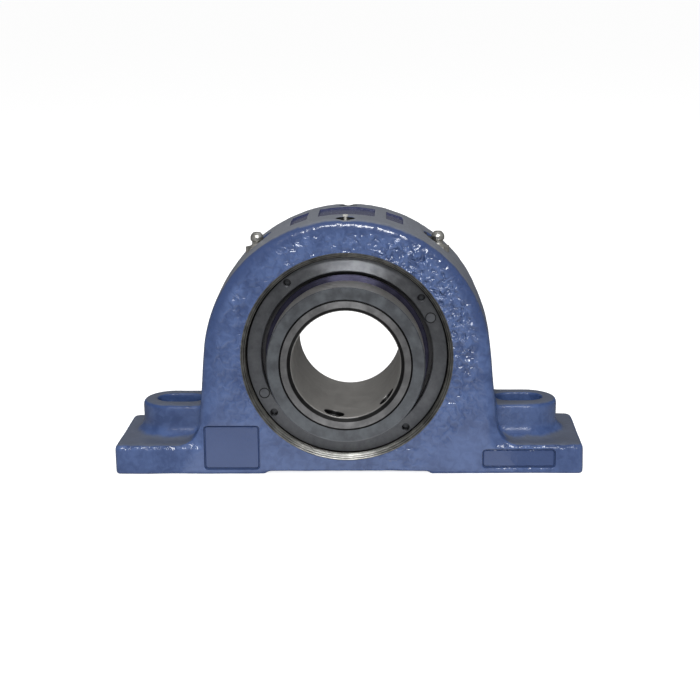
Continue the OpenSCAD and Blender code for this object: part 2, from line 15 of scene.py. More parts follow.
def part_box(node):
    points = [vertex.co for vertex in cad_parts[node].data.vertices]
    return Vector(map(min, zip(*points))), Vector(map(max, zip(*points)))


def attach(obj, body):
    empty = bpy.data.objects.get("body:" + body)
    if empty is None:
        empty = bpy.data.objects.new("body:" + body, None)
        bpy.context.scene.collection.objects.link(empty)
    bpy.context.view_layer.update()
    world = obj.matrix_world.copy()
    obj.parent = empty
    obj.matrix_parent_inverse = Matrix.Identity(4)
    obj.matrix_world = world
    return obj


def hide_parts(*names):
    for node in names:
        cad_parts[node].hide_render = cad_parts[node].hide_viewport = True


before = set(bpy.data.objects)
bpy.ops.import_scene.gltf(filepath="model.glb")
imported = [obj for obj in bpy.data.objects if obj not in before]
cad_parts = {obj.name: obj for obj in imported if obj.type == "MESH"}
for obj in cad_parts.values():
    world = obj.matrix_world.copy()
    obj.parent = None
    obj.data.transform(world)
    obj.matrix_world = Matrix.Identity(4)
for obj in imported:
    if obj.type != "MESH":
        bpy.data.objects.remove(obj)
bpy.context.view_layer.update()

bl_info = {
    "name": "Pillow Block Looks",
    "version": (1, 0, 0),
    "blender": (4, 5, 0),
    "location": "3D View > Sidebar > Pillow Block",
    "description": "Casts, machines and finishes a pillow block bearing on its packed frame",
    "category": "Object",
}

MM = 0.001


def middle(node):
    """Middle of the box round a node."""
    low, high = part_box(node)
    return [(a + b) / 2 for a, b in zip(low, high)]


def radius_of(node):
    """Radius of a node that is round about the shaft."""
    low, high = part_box(node)
    return (high.x - low.x) / 2


# Sizes that the frame gives

BLOCK_LOW, BLOCK_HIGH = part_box("housing")
FACE_Y = BLOCK_HIGH.y
SHAFT_Z = middle("front_cover")[2]
COVER_R = radius_of("front_cover")
OUTER_RING_R = radius_of("outer_ring")
OUTER_RING_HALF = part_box("outer_ring")[1].y
RING_R = radius_of("inner_ring")

# Sizes that no box of a node gives

BORE_R = 25.4 * MM
BORE_CHAMFER = (BORE_R + 0.4 * MM, BORE_R + 1.8 * MM)
PLUG_R = 2.6 * MM
FITTING_SHANK = 6.0 * MM
ARCH_Z = 54.9 * MM

# Machining of the casting

FIT_GAP = 0.05 * MM
CHAMFER = 2.2 * MM
MOUTH_R = COVER_R + CHAMFER
FILLER_MARGIN = 3 * MM
THREAD_PITCH = 1.5 * MM
THREAD_DEPTH = 0.9 * MM
THREAD_TURNS = 5
SPOT_FACE_MARGIN = 1.6 * MM
TAPPED_R = 3.2 * MM
TAPPED_BELOW_FITTING = 1.5 * MM
TAPPED_ABOVE_SEAT = 3 * MM
PIN_RECESS_R = 4.5 * MM
PIN_RECESS_DEPTH = 2.8 * MM
SLAB_OVERSIZE = 1.2
TOOL_MARGIN = 5 * MM

# One groove of the thread, as shares of its pitch and of its depth

THREAD_GROOVE = ((0.1, 0), (0.44, 1), (0.56, 1), (0.9, 0))

# Bare front fields: left edge, lower edge, width and height in millimetres

FRONT_FIELDS = (("square_field", -69.0, 2.2, 26.9, 22.0), ("plate_field", 64.0, 2.8, 35.0, 9.3))
FRONT_FIELD_CORNER = 1.9 * MM

# Bare crown fields: two ends in degrees from the crown's top, with radii from the arch's axis

CROWN_FIELDS = (("left_field", -23.2, -16.0), ("mid_field", -11.35, 11.35), ("right_field", 16.0, 23.2))
CROWN_FLOOR = 67.55 * MM
CROWN_FLOOR_ENDS = CROWN_FLOOR - 0.28 * MM
CROWN_HALF_WIDTH = 11.5 * MM
CROWN_MARGIN = 4 * MM

# Material slots of the casting, after slot 0, which is its enamelled skin

MACHINED, CROWN_FIELD, FRONT_FIELD = 1, 2, 3

# Cast skin: how far each round of smoothing moves a point to its neighbours' middle

SMOOTHING = 0.6

# Roughness of the skin: where it changes, and over how long a way

ROUGH_FROM_Z = 0.8 * SHAFT_Z
ROUGHEST_X = 30 * MM
SMOOTH_RIM_R = 60 * MM
FRONT_SKIN = 2 * MM
EDGE_FADE = 3 * MM
WAVE_FADE = 8 * MM

# Steps round a turned solid, a circle and a round corner

LATHE_STEPS = 256
CIRCLE_STEPS = 64
CORNER_STEPS = 8


# Helpers for meshes


def new_piece(name, mesh):
    piece = bpy.data.objects.new(name, mesh)
    bpy.context.scene.collection.objects.link(piece)
    return piece


def solid(name, rings):
    """Closed solid through rings of points: an end ring of one point is a tip, any other is capped."""
    bm = bmesh.new()
    loops = [[bm.verts.new(point) for point in ring] for ring in rings]
    for loop, following in zip(loops, loops[1:]):
        steps = max(len(loop), len(following))
        for i in range(steps):
            j = (i + 1) % steps
            corners = [loop[i % len(loop)], loop[j % len(loop)]]
            corners += [following[j % len(following)], following[i % len(following)]]
            bm.faces.new(list(dict.fromkeys(corners)))
    for end in (loops[0], loops[-1]):
        if len(end) > 1:
            bm.faces.new(end)
    bmesh.ops.recalc_face_normals(bm, faces=bm.faces)
    return mesh_from(name, bm)


def mesh_from(name, bm):
    """Mesh with what was built in bm, which is freed."""
    mesh = bpy.data.meshes.new(name)
    bm.to_mesh(mesh)
    bm.free()
    return mesh


def joined(meshes):
    """One mesh that holds copies of several."""
    bm = bmesh.new()
    for mesh in meshes:
        bm.from_mesh(mesh)
    return mesh_from("joined", bm)


def lathe(name, profile):
    """Solid turned about the shaft axis from (radius, place along the shaft) points."""
    turns = [2 * math.pi * i / LATHE_STEPS for i in range(LATHE_STEPS)]
    return solid(name, [
        [
            (radius * math.cos(turn), y, SHAFT_Z + radius * math.sin(turn))
            for turn in (turns if radius else [0])
        ]
        for radius, y in profile
    ])


def stacked(name, levels):
    """Solid through outlines with equal numbers of (x, y) points, each with its height."""
    return solid(name, [[(x, y, height) for x, y in outline] for outline, height in levels])


def upright(name, outline, low, high):
    """Upright prism over a closed outline of (x, y) points."""
    return stacked(name, [(outline, low), (outline, high)])


def crown_band(name, first, last):
    """Curved block that sinks a field into the crown between two angles from the top."""
    top = CROWN_FLOOR + CROWN_MARGIN
    section = [
        (CROWN_FLOOR_ENDS, -CROWN_HALF_WIDTH), (CROWN_FLOOR, 0.0), (CROWN_FLOOR_ENDS, CROWN_HALF_WIDTH),
        (top, CROWN_HALF_WIDTH), (top, -CROWN_HALF_WIDTH),
    ]
    steps = round(last - first)
    turns = [math.radians(first + (last - first) * i / steps) for i in range(steps + 1)]
    return solid(name, [
        [(r * math.sin(turn), y, ARCH_Z + r * math.cos(turn)) for r, y in section] for turn in turns
    ])


def circle(x, y, radius):
    """Outline of a circle."""
    turns = [2 * math.pi * i / CIRCLE_STEPS for i in range(CIRCLE_STEPS)]
    return [(x + radius * math.cos(turn), y + radius * math.sin(turn)) for turn in turns]


def round_rect(left, low, width, height, radius):
    """Outline of a rectangle with round corners."""
    right, top = left + width - radius, low + height - radius
    left, low = left + radius, low + radius
    corners = ((right, top, 0), (left, top, 90), (left, low, 180), (right, low, 270))
    turns = [
        (x, y, math.radians(start + 90 * i / CORNER_STEPS))
        for x, y, start in corners
        for i in range(CORNER_STEPS + 1)
    ]
    return [(x + radius * math.cos(turn), y + radius * math.sin(turn)) for x, y, turn in turns]


def ground_rectangle(name, left, near, right, far):
    """Flat rectangle on the ground."""
    mesh = bpy.data.meshes.new(name)
    corners = [(left, near, 0), (right, near, 0), (right, far, 0), (left, far, 0)]
    mesh.from_pydata(corners, [], [(0, 1, 2, 3)])
    return new_piece(name, mesh)


def make_real(piece):
    """Turns a piece's modifiers into its mesh."""
    graph = bpy.context.evaluated_depsgraph_get()
    mesh = bpy.data.meshes.new_from_object(piece.evaluated_get(graph))
    piece.modifiers.clear()
    old = piece.data
    piece.data = mesh
    bpy.data.meshes.remove(old)


def machine(piece, tool_mesh, slot):
    """Cuts a tool's solid out of a piece; the cut faces take the material in the given slot."""
    for face in tool_mesh.polygons:
        face.material_index = slot
    for material in piece.data.materials:
        tool_mesh.materials.append(material)
    tool = new_piece("tool", tool_mesh)
    cut = piece.modifiers.new("cut", "BOOLEAN")
    cut.operation = "DIFFERENCE"
    cut.solver = "MANIFOLD"
    cut.object = tool
    faces_before = len(piece.data.polygons)
    make_real(piece)
    if len(piece.data.polygons) in (0, faces_before):
        raise RuntimeError(f"the cut of {tool_mesh.name} left the casting as it was")
    bpy.data.objects.remove(tool)


def table_of(elements, attribute, columns, kind=float):
    """One attribute of a mesh's points or edges as a table of numbers."""
    flat = np.empty(len(elements) * columns, kind)
    elements.foreach_get(attribute, flat)
    return flat.reshape(-1, columns)


def held(value, least=0.0):
    """A value held between its least and 1."""
    return min(1.0, max(least, value))


# Helpers for materials

TIMES = {"operation": "MULTIPLY"}
TIMES_PLUS = {"operation": "MULTIPLY_ADD"}
PLUS = {"operation": "ADD"}
MINUS = {"operation": "SUBTRACT"}
UNSIGNED = {"operation": "ABSOLUTE"}
LARGER = {"operation": "MAXIMUM"}
SMALLER = {"operation": "MINIMUM"}
SMOOTH = {"interpolation_type": "SMOOTHSTEP"}

# Black for oil in joints and for painted shade
OIL_AND_SHADE = "#0a0a0a"
WHITE = "#ffffff"


def linear(hex_colour):
    """An sRGB hex colour as Blender's linear colour."""
    parts = [int(hex_colour[i:i + 2], 16) / 255 for i in (1, 3, 5)]
    return [p / 12.92 if p <= 0.04045 else ((p + 0.055) / 1.055) ** 2.4 for p in parts] + [1.0]


def blank(owner):
    """Readies a material or world for its own nodes."""
    owner.use_nodes = True
    owner.node_tree.nodes.clear()
    return owner


def add(owner, kind, settings, inputs):
    """Adds one node with its settings and inputs, which are values or linked sockets; gives its outputs."""
    made = owner.node_tree.nodes.new("ShaderNode" + kind)
    for name, value in settings.items():
        setattr(made, name, value)
    for name, value in inputs.items() if isinstance(inputs, dict) else enumerate(inputs):
        if isinstance(value, bpy.types.NodeSocket):
            owner.node_tree.links.new(value, made.inputs[name])
        else:
            made.inputs[name].default_value = value
    return made.outputs


def finish(material, inputs):
    """Ends a material with its surface shader."""
    shader = add(material, "BsdfPrincipled", {}, inputs)
    add(material, "OutputMaterial", {}, [shader[0]])
    return material


def place(material):
    """Where a point is, in metres from the middle of the shaft axis."""
    where = add(material, "TexCoord", {}, [])["Object"]
    return add(material, "VectorMath", MINUS, [where, (0, 0, SHAFT_Z)])[0]


def facing(material):
    """How much a face looks along the shaft, either way, and how much it looks up."""
    normal = add(material, "NewGeometry", {}, [])["Normal"]
    _, forward, upward = add(material, "SeparateXYZ", {}, [normal])
    return add(material, "Math", UNSIGNED, [forward])[0], upward


def graded(owner, *grades):
    """A share that changes smoothly along one gradient or several at once.

    Each gradient is the value that it follows, that value at its two ends, and the shares there.
    """
    whole = None
    for grade in grades:
        share = add(owner, "MapRange", SMOOTH, grade)[0]
        whole = share if whole is None else add(owner, "Math", TIMES, [whole, share])[0]
    return whole


def clouds(material, where, width, span, ends=(0.0, 1.0), detail=4.0, roughness=0.6):
    """Soft clouds of a real width: the part of a noise within the span, stretched between the two ends."""
    pattern = add(material, "TexNoise", {}, {
        "Vector": where, "Scale": 1 / width, "Detail": detail, "Roughness": roughness,
    })["Fac"]
    return graded(material, (pattern, *span, *ends))


def grained(material, where, width, depth):
    """Normal of a surface with an even grain of a given width and depth.

    The grain of plating, ground steel and moulded rubber is too fine to show in the render, so it is drawn
    about half a millimetre wide.
    """
    pattern = add(material, "TexNoise", {}, {"Vector": where, "Scale": 1 / width})["Fac"]
    return add(material, "Bump", {}, {"Height": pattern, "Distance": depth, "Strength": 1.0})[0]


def layered(material, colour, *layers):
    """A colour under layers of others, each with the share of the surface that it covers."""
    colour = linear(colour)
    for share, layer in layers:
        top = linear(layer) if isinstance(layer, str) else layer
        colour = add(material, "Mix", {"data_type": "RGBA"}, {0: share, 6: colour, 7: top})[2]
    return colour


def reach(material, where, centre=(0, 0, 0)):
    """Distance of a point from a line along the shaft's direction."""
    off = add(material, "VectorMath", MINUS, [where, centre])[0]
    flat = add(material, "VectorMath", TIMES, [off, (1, 0, 1)])[0]
    return add(material, "VectorMath", {"operation": "LENGTH"}, [flat])["Value"]


def band(material, distance, inside, outside):
    """Share of a black ring between two radii, which stands for oil held in a joint and for painted shade on
    a chamfer.
    """
    middle_r, half = (inside + outside) / 2, (outside - inside) / 2
    off = add(material, "Math", MINUS, [distance, middle_r])[0]
    away = add(material, "Math", UNSIGNED, [off])[0]
    return graded(material, (away, half - 0.1 * MM, half + 0.1 * MM, 0.92, 0.0))


def painted_recess_shade(material):
    """Share of painted shade, which darkens holes and corners by their ambient occlusion."""
    openness = add(material, "AmbientOcclusion", {"samples": 6}, {"Distance": 2.4 * MM})["AO"]
    return graded(material, (openness, 0.4, 0.68, 0.9, 0.0))


def around_shaft(material, where):
    """Direction of a lathe tool's marks at a point: round the shaft."""
    across = add(material, "VectorMath", {"operation": "CROSS_PRODUCT"}, [where, (0, 1, 0)])[0]
    return add(material, "VectorMath", {"operation": "NORMALIZE"}, [across])[0]


# Enamel

# Widths of its patterns

PATCH = 16 * MM
STREAK = 15 * MM
CLOUD = 13 * MM
DUST_PATCH = 6 * MM
DENT = 3.8 * MM
WRINKLE = 3.2 * MM
ENAMEL_GRAIN = 0.9 * MM

# Heights of its relief

WRINKLE_HEIGHT = 2.0 * MM
DENT_HEIGHT = 0.8 * MM
ENAMEL_GRAIN_HEIGHT = 0.05 * MM


def enamel_on_sand_casting(name, looks, tones, skin_share, dust_and_sheen_share):
    """Alkyd enamel sprayed on sand-cast iron: glossy blue that follows the sand's lumps and pits.

    Painted light is drawn into its colour: a paler tone near the feet, painted shade at the arch's rim and in
    the lumps' hollows, and a grey on the crown that is partly dust and partly painted sheen. It is dull where
    dust and dirty film lie on it.
    """
    m = blank(bpy.data.materials.new(name))
    where = place(m)
    height = add(m, "SeparateXYZ", {}, [where])["Z"]
    arch = reach(m, where, (0, 0, ARCH_Z - SHAFT_Z))
    forward, upward = facing(m)
    wrinkles = add(m, "TexNoise", {}, {
        "Vector": where, "Scale": 1 / WRINKLE, "Detail": 1.0, "Roughness": 0.4, "Distortion": 0.9,
    })["Fac"]
    cloud = clouds(m, where, CLOUD, (0.3, 0.7), (0.0, 0.6), 3.0, 0.5)
    skin = skin_strength(m, where, arch, upward, skin_share)
    relief = add(m, "Bump", {}, {
        "Height": skin_height(m, where, wrinkles, skin), "Distance": 1.0, "Strength": 1.0,
    })[0]
    # Dust, and on the crown a painted sheen that stands in for grazing reflection.
    settled = dust_and_painted_sheen(m, where, height, forward, upward, cloud, dust_and_sheen_share)
    low, high = tones
    colour = layered(
        m, low,
        # Clouds at random, and painted shade that follows the lumps.
        (clouds_and_painted_lump_shade(m, wrinkles, cloud, skin), high),
        # Painted shade: a darker tone on the arch's rim above the shaft.
        (graded(m, (arch, 62.5 * MM, 65 * MM, 0.0, 0.9), (height, 0.0, 25 * MM, 0.0, 1.0)), low),
        # Painted light: a paler tone near the feet.
        (painted_floor_light_share(m, where, height), looks.enamel_painted_floor_light),
        # Dust and painted sheen, darker towards the bottom.
        (settled, layered(m, looks.dust_dark, (graded(m, (height, 0.0, 60 * MM, 0.0, 1.0)), looks.dust))),
    )
    return finish(m, {
        "Base Color": colour,
        "Roughness": 0.5,
        "Specular IOR Level": 0.15,
        "Normal": relief,
        "Coat Weight": add(m, "Math", MINUS, [1.0, dull_share(m, height, upward, settled)])[0],
        "Coat Roughness": 0.2,
        "Coat Normal": relief,
    })


def skin_strength(m, where, arch, upward, share):
    """How far the lumps stand out: most high up and on the right, least at the rim."""
    across, _, height = add(m, "SeparateXYZ", {}, [where])
    patches = add(m, "TexNoise", {}, {"Vector": where, "Scale": 1 / PATCH, "Detail": 1.0})["Fac"]
    skin = graded(
        m,
        (height, -25 * MM, 35 * MM, 0.35 * share, share),
        (across, -5 * MM, 35 * MM, 0.5, 1.35),
        (patches, 0.38, 0.5, 0.6, 1.0),
        (arch, 61 * MM, 63.5 * MM, 1.0, 0.25),
    )
    foot_edge = graded(
        m,
        (upward, 0.1, 0.3, 0.0, share),
        (upward, 0.7, 0.9, 1.0, 0.0),
        (height, -42.5 * MM, -40.5 * MM, 0.6, 0.0),
    )
    return add(m, "Math", PLUS, [skin, foot_edge])[0]


def skin_height(m, where, wrinkles, skin):
    """Height of the lumps, centred so that their mask doesn't tilt the skin, with the enamel's grain."""
    cells = add(m, "TexVoronoi", {"feature": "SMOOTH_F1"}, {
        "Vector": where, "Scale": 1 / DENT, "Smoothness": 0.25,
    })["Distance"]
    centre = 0.5 * WRINKLE_HEIGHT + 0.45 * DENT_HEIGHT
    lumps = add(m, "Math", TIMES_PLUS, [wrinkles, WRINKLE_HEIGHT, -centre])[0]
    lumps = add(m, "Math", TIMES_PLUS, [cells, DENT_HEIGHT, lumps])[0]
    speckle = add(m, "TexNoise", {}, {"Vector": where, "Scale": 1 / ENAMEL_GRAIN, "Detail": 1.0})["Fac"]
    grain = add(m, "Math", TIMES, [speckle, ENAMEL_GRAIN_HEIGHT])[0]
    return add(m, "Math", TIMES_PLUS, [lumps, skin, grain])[0]


def clouds_and_painted_lump_shade(m, wrinkles, cloud, skin):
    """Share of the enamel's light tone: soft clouds at random, and painted shade that follows the wrinkles
    where they stand out, light on their crests and dark in their hollows.
    """
    contrast = add(m, "Math", TIMES_PLUS, [skin, 0.6, 0.3])[0]
    painted_lump_shade = graded(m, (wrinkles, 0.35, 0.65, 0.0, 0.9))
    return add(m, "Math", TIMES_PLUS, [painted_lump_shade, contrast, cloud])[0]


def painted_floor_light_share(m, where, height):
    """Share of painted light: a paler tone that fades upwards from the feet along a ragged line."""
    streaks = add(m, "TexNoise", {}, {"Vector": where, "Scale": 1 / STREAK})["Fac"]
    ragged = add(m, "Math", TIMES_PLUS, [streaks, 40 * MM, height])[0]
    return graded(m, (ragged, -40 * MM, 5 * MM, 0.1, 0.0))


def dust_and_painted_sheen(m, where, height, forward, upward, cloud, share):
    """Share of grey: dust on faces that look up, and over the whole crown a grey that is partly dust and
    partly painted sheen.
    """
    patches = add(m, "TexNoise", {}, {"Vector": where, "Scale": 1 / DUST_PATCH, "Detail": 3.0})["Fac"]
    lying = add(m, "Math", TIMES_PLUS, [patches, 0.3, upward])[0]
    ragged = add(m, "Math", TIMES_PLUS, [cloud, 15 * MM, height])[0]
    level = graded(m, (lying, 0.85, 1.1, 0.0, share))
    crown = graded(m, (forward, 0.15, 0.4, 1.0, 0.0), (ragged, 12 * MM, 42 * MM, 0.0, share))
    return add(m, "Math", LARGER, [level, crown])[0]


def dull_share(m, height, upward, settled):
    """Share without gloss: where dust lies, and under the film of dirt on the feet."""
    low_down = graded(m, (height, -43 * MM, -41 * MM, 0.0, 0.4))
    dirty = add(m, "Math", PLUS, [upward, low_down])[0]
    film = graded(m, (dirty, 0.5, 0.85, 0.0, 0.85), (height, -20 * MM, 10 * MM, 1.0, 0.0))
    return add(m, "Math", LARGER, [film, settled])[0]


# Metals and rubber


def machined_cast_iron(looks):
    """Bored and faced grey iron, unpainted and oiled: dark satin metal with fine tool rings.

    The rings are drawn 0.9 mm apart, coarser than the tool's feed, so that they show.
    """
    m = blank(bpy.data.materials.new("machined_cast_iron"))
    where = place(m)
    ring_pitch = 0.9 * MM
    # A wave texture of scale 1 repeats every 2 pi / 20
    rings = add(m, "TexWave", {"wave_type": "RINGS", "rings_direction": "Y"}, {
        "Vector": where, "Scale": 2 * math.pi / (20 * ring_pitch), "Distortion": 0.0,
    })["Fac"]
    stain = clouds(m, where, 7 * MM, (0.35, 0.7), (0.0, 0.5), 3.0)
    light = add(m, "Math", TIMES_PLUS, [rings, 0.5, stain])[0]
    return finish(m, {
        "Base Color": layered(m, looks.machined_dark, (light, looks.machined)),
        "Metallic": 1.0,
        "Roughness": 0.3,
        "Normal": add(m, "Bump", {}, {"Height": rings, "Distance": 0.05 * MM, "Strength": 1.0})[0],
    })


def turned_black_oxide(name, looks, tones, roughness, scratches, directed, chamfer=None, ground=None):
    """Steel turned on a lathe and blackened: dark satin that brightens across the tool's rings.

    The tool's rings are too fine to draw, so directed, the shader's anisotropy, stands for them.
    chamfer is a black ring of painted shade round a bright bore, and ground the colour of faces round the
    shaft, a lighter colour painted on as a sheen.
    """
    m = blank(bpy.data.materials.new(name))
    where = place(m)
    distance = reach(m, where)
    base, light = tones
    tone = clouds(m, where, 6 * MM, (0.3, 0.7))
    marks = clouds(m, where, 0.9 * MM, (0.7, 0.75), (0.0, scratches), 3.0, 0.7)
    scratched = clouds(m, where, 11 * MM, (0.45, 0.75), (0.0, 1.0), 2.0, 0.5)
    layers = [(tone, light)]
    # Painted sheen: faces round the shaft take a lighter colour that stands in for their reflection.
    if ground:
        layers.append((graded(m, (facing(m)[0], 0.2, 0.6, 1.0, 0.0)), ground))
    layers.append((add(m, "Math", TIMES, [marks, scratched])[0], looks.bare_scratch))
    layers.append((band(m, distance, RING_R - 0.4 * MM, RING_R + 0.4 * MM), OIL_AND_SHADE))
    if chamfer:
        layers.append((graded(m, (distance, BORE_R + 0.1 * MM, BORE_R + 0.3 * MM, 1.0, 0.0)), looks.bore))
        # Painted shade: the bore's chamfer drawn as a black ring.
        layers.append((band(m, distance, *chamfer), OIL_AND_SHADE))
    # Painted shade: holes and corners drawn black by their ambient occlusion.
    layers.append((painted_recess_shade(m), OIL_AND_SHADE))
    return finish(m, {
        "Base Color": layered(m, base, *layers),
        "Metallic": 0.85,
        "Roughness": graded(m, (tone, 0.0, 1.0, roughness - 0.04, roughness + 0.05)),
        "Anisotropic": directed,
        "Anisotropic Rotation": 0.25,
        "Tangent": around_shaft(m, where),
        "Normal": grained(m, where, 0.6 * MM, 0.012 * MM),
    })


def plug_steel(looks):
    """Blackened plugs pressed into the cover and faced with it: a black line of oil round each."""
    m = blank(bpy.data.materials.new("plug_steel"))
    where = place(m)
    low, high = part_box("front_cover_plugs")
    upper = reach(m, where, (high.x - PLUG_R, 0, high.z - PLUG_R - SHAFT_Z))
    lower = reach(m, where, (low.x + PLUG_R, 0, low.z + PLUG_R - SHAFT_Z))
    nearest = add(m, "Math", SMALLER, [upper, lower])[0]
    return finish(m, {
        "Base Color": layered(
            m, looks.collar,
            (clouds(m, where, 3 * MM, (0.35, 0.65)), looks.cover),
            (band(m, nearest, PLUG_R - 0.45 * MM, PLUG_R + 1 * MM), OIL_AND_SHADE),
        ),
        "Metallic": 0.85,
        "Roughness": 0.42,
        "Normal": grained(m, where, 0.5 * MM, 0.02 * MM),
    })


def plain_metal(name, colour, dark, roughness, relief=0.008 * MM, metallic=1.0):
    """Metal with a fine even surface and slight clouding, its colour from plating, grinding or heat."""
    m = blank(bpy.data.materials.new(name))
    where = place(m)
    return finish(m, {
        "Base Color": layered(m, dark, (clouds(m, where, 3 * MM, (0.35, 0.65)), colour)),
        "Metallic": metallic,
        "Roughness": clouds(
            m, where, 1.2 * MM, (0.3, 0.7), (roughness - 0.06, roughness + 0.08), 2.0, 0.5),
        "Normal": grained(m, where, 0.5 * MM, relief),
    })


def nitrile_rubber(looks):
    """Moulded black rubber: deep matt black with a faint sheen."""
    m = blank(bpy.data.materials.new("nitrile_rubber"))
    return finish(m, {
        "Base Color": linear(looks.rubber),
        "Roughness": 0.62,
        "Normal": grained(m, place(m), 0.6 * MM, 0.015 * MM),
    })


def dress(material, *nodes):
    """Gives nodes from the frame their material."""
    for node in nodes:
        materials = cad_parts[node].data.materials
        materials.clear()
        materials.append(material)


# Settings


def colour_setting(name, description, default):
    return bpy.props.StringProperty(
        name=name, description=f"{description}, as an sRGB hex value", default=default)


def length_setting(name, description, default, low, high):
    """A length whose default and limits are given in millimetres."""
    return bpy.props.FloatProperty(
        name=name, description=description, default=default * MM, min=low * MM, max=high * MM,
        subtype="DISTANCE", unit="LENGTH", precision=5)


def strength_setting(name, description, default, high):
    return bpy.props.FloatProperty(name=name, description=description, default=default, min=0, max=high)


def power_setting(name, description, default):
    return bpy.props.FloatProperty(
        name=name, description=description, default=default, min=0, max=500, subtype="POWER", unit="POWER")


class CastingSettings(bpy.types.PropertyGroup):
    """Sizes and colours of the casting."""

    grid: length_setting("Skin grid", "Distance between the points of the cast skin", 0.7, 0.3, 3)
    soften: bpy.props.IntProperty(
        name="Edge softening", description="Rounds of smoothing that give the cast edges their radius",
        default=5, min=0, max=60)
    lump_height: length_setting(
        "Lump height", "Height of the sand's lumps on the roughest part of the skin", 0.32, 0, 1)
    lump_size: length_setting("Lump size", "Width of the sand's larger lumps", 5.0, 1, 20)
    field_depth: length_setting(
        "Field depth", "Depth of the bare sunk fields on the front face", 0.95, 0.8, 2)
    field_groove: length_setting(
        "Field groove", "Depth of the groove round each sunk field", 1.45, 0.9, 3)
    enamel: colour_setting("Enamel", "Main colour of the enamel", "#223358")
    enamel_light: colour_setting("Light enamel", "Lighter tone of the enamel", "#394b72")
    # Painted shade for the crown's sunk fields.
    enamel_painted_field_shade: colour_setting("Deep enamel", "Thick enamel in the crown's fields", "#23284a")
    # Painted light: the paler tone near the feet.
    enamel_painted_floor_light: colour_setting("Pale enamel", "Chalked enamel near the feet", "#56678f")
    # Dust and painted sheen: the lighter tone high up, the darker one towards the bottom.
    dust: colour_setting("Dust", "Dust settled on upward faces", "#6b6d6f")
    dust_dark: colour_setting("Dust, dark", "Oily dirt settled on the feet", "#4b4e53")
    machined: colour_setting("Machined iron", "Bored iron", "#7a7a77")
    machined_dark: colour_setting("Dark machined iron", "Stained bored iron", "#353534")


class SteelSettings(bpy.types.PropertyGroup):
    """Colours of the steel, bronze and rubber pieces."""

    cover: colour_setting("Cover", "Blackened cover", "#5c5e62")
    cover_light: colour_setting("Cover, light", "Lighter tone of the cover", "#727478")
    collar: colour_setting("Collar", "Blackened collar", "#505256")
    collar_light: colour_setting("Collar, light", "Lighter tone of the collar", "#5f6367")
    ring: colour_setting("Inner ring", "Ground inner ring", "#747475")
    ring_dark: colour_setting("Inner ring, dark", "Darker tone of the inner ring", "#5f5f60")
    bore: colour_setting("Bore", "Ground shaft bore", "#a19f9c")
    slinger: colour_setting("Slinger", "Blued sheet steel", "#464559")
    slinger_dark: colour_setting("Slinger, dark", "Darker tone of the slinger", "#39384a")
    zinc: colour_setting("Zinc", "Zinc plating", "#cccbc6")
    zinc_dark: colour_setting("Zinc, dark", "Dulled zinc plating", "#a3a29d")
    screw: colour_setting("Set screws", "Blackened screw steel", "#66676a")
    bare_scratch: colour_setting("Scratches", "Bare steel in a scratch", "#c8c8c4")
    rubber: colour_setting("Rubber", "Seal rubber", "#17171a")
    polished: colour_setting("Bearing steel", "Ground bearing steel", "#c2c4c6")
    polished_dark: colour_setting("Bearing steel, dark", "Oiled bearing steel", "#9b9d9f")
    bronze: colour_setting("Bronze", "Cage bronze", "#c39a55")
    bronze_dark: colour_setting("Bronze, dark", "Tarnished bronze", "#94703a")


class StageSettings(bpy.types.PropertyGroup):
    """Floor and lights."""

    floor: colour_setting("Floor", "Floor colour", "#b0b0b0")
    floor_glow: strength_setting(
        "Floor glow", "Light that the white floor gives off, as a lit table does", 0.8, 2)
    card_glow: strength_setting(
        "Card glow", "Brightness of the white card that lights the steel from below", 1.15, 3)
    sky: strength_setting("Room light", "Strength of the light from the room", 0.31, 5)
    key: power_setting("Key light", "Power of the soft light above the camera", 15)
    overhead: power_setting("Overhead light", "Power of the soft light over the bearing", 11)
    rear: power_setting("Rear light", "Power of the soft light behind the bearing", 7)


# Operators


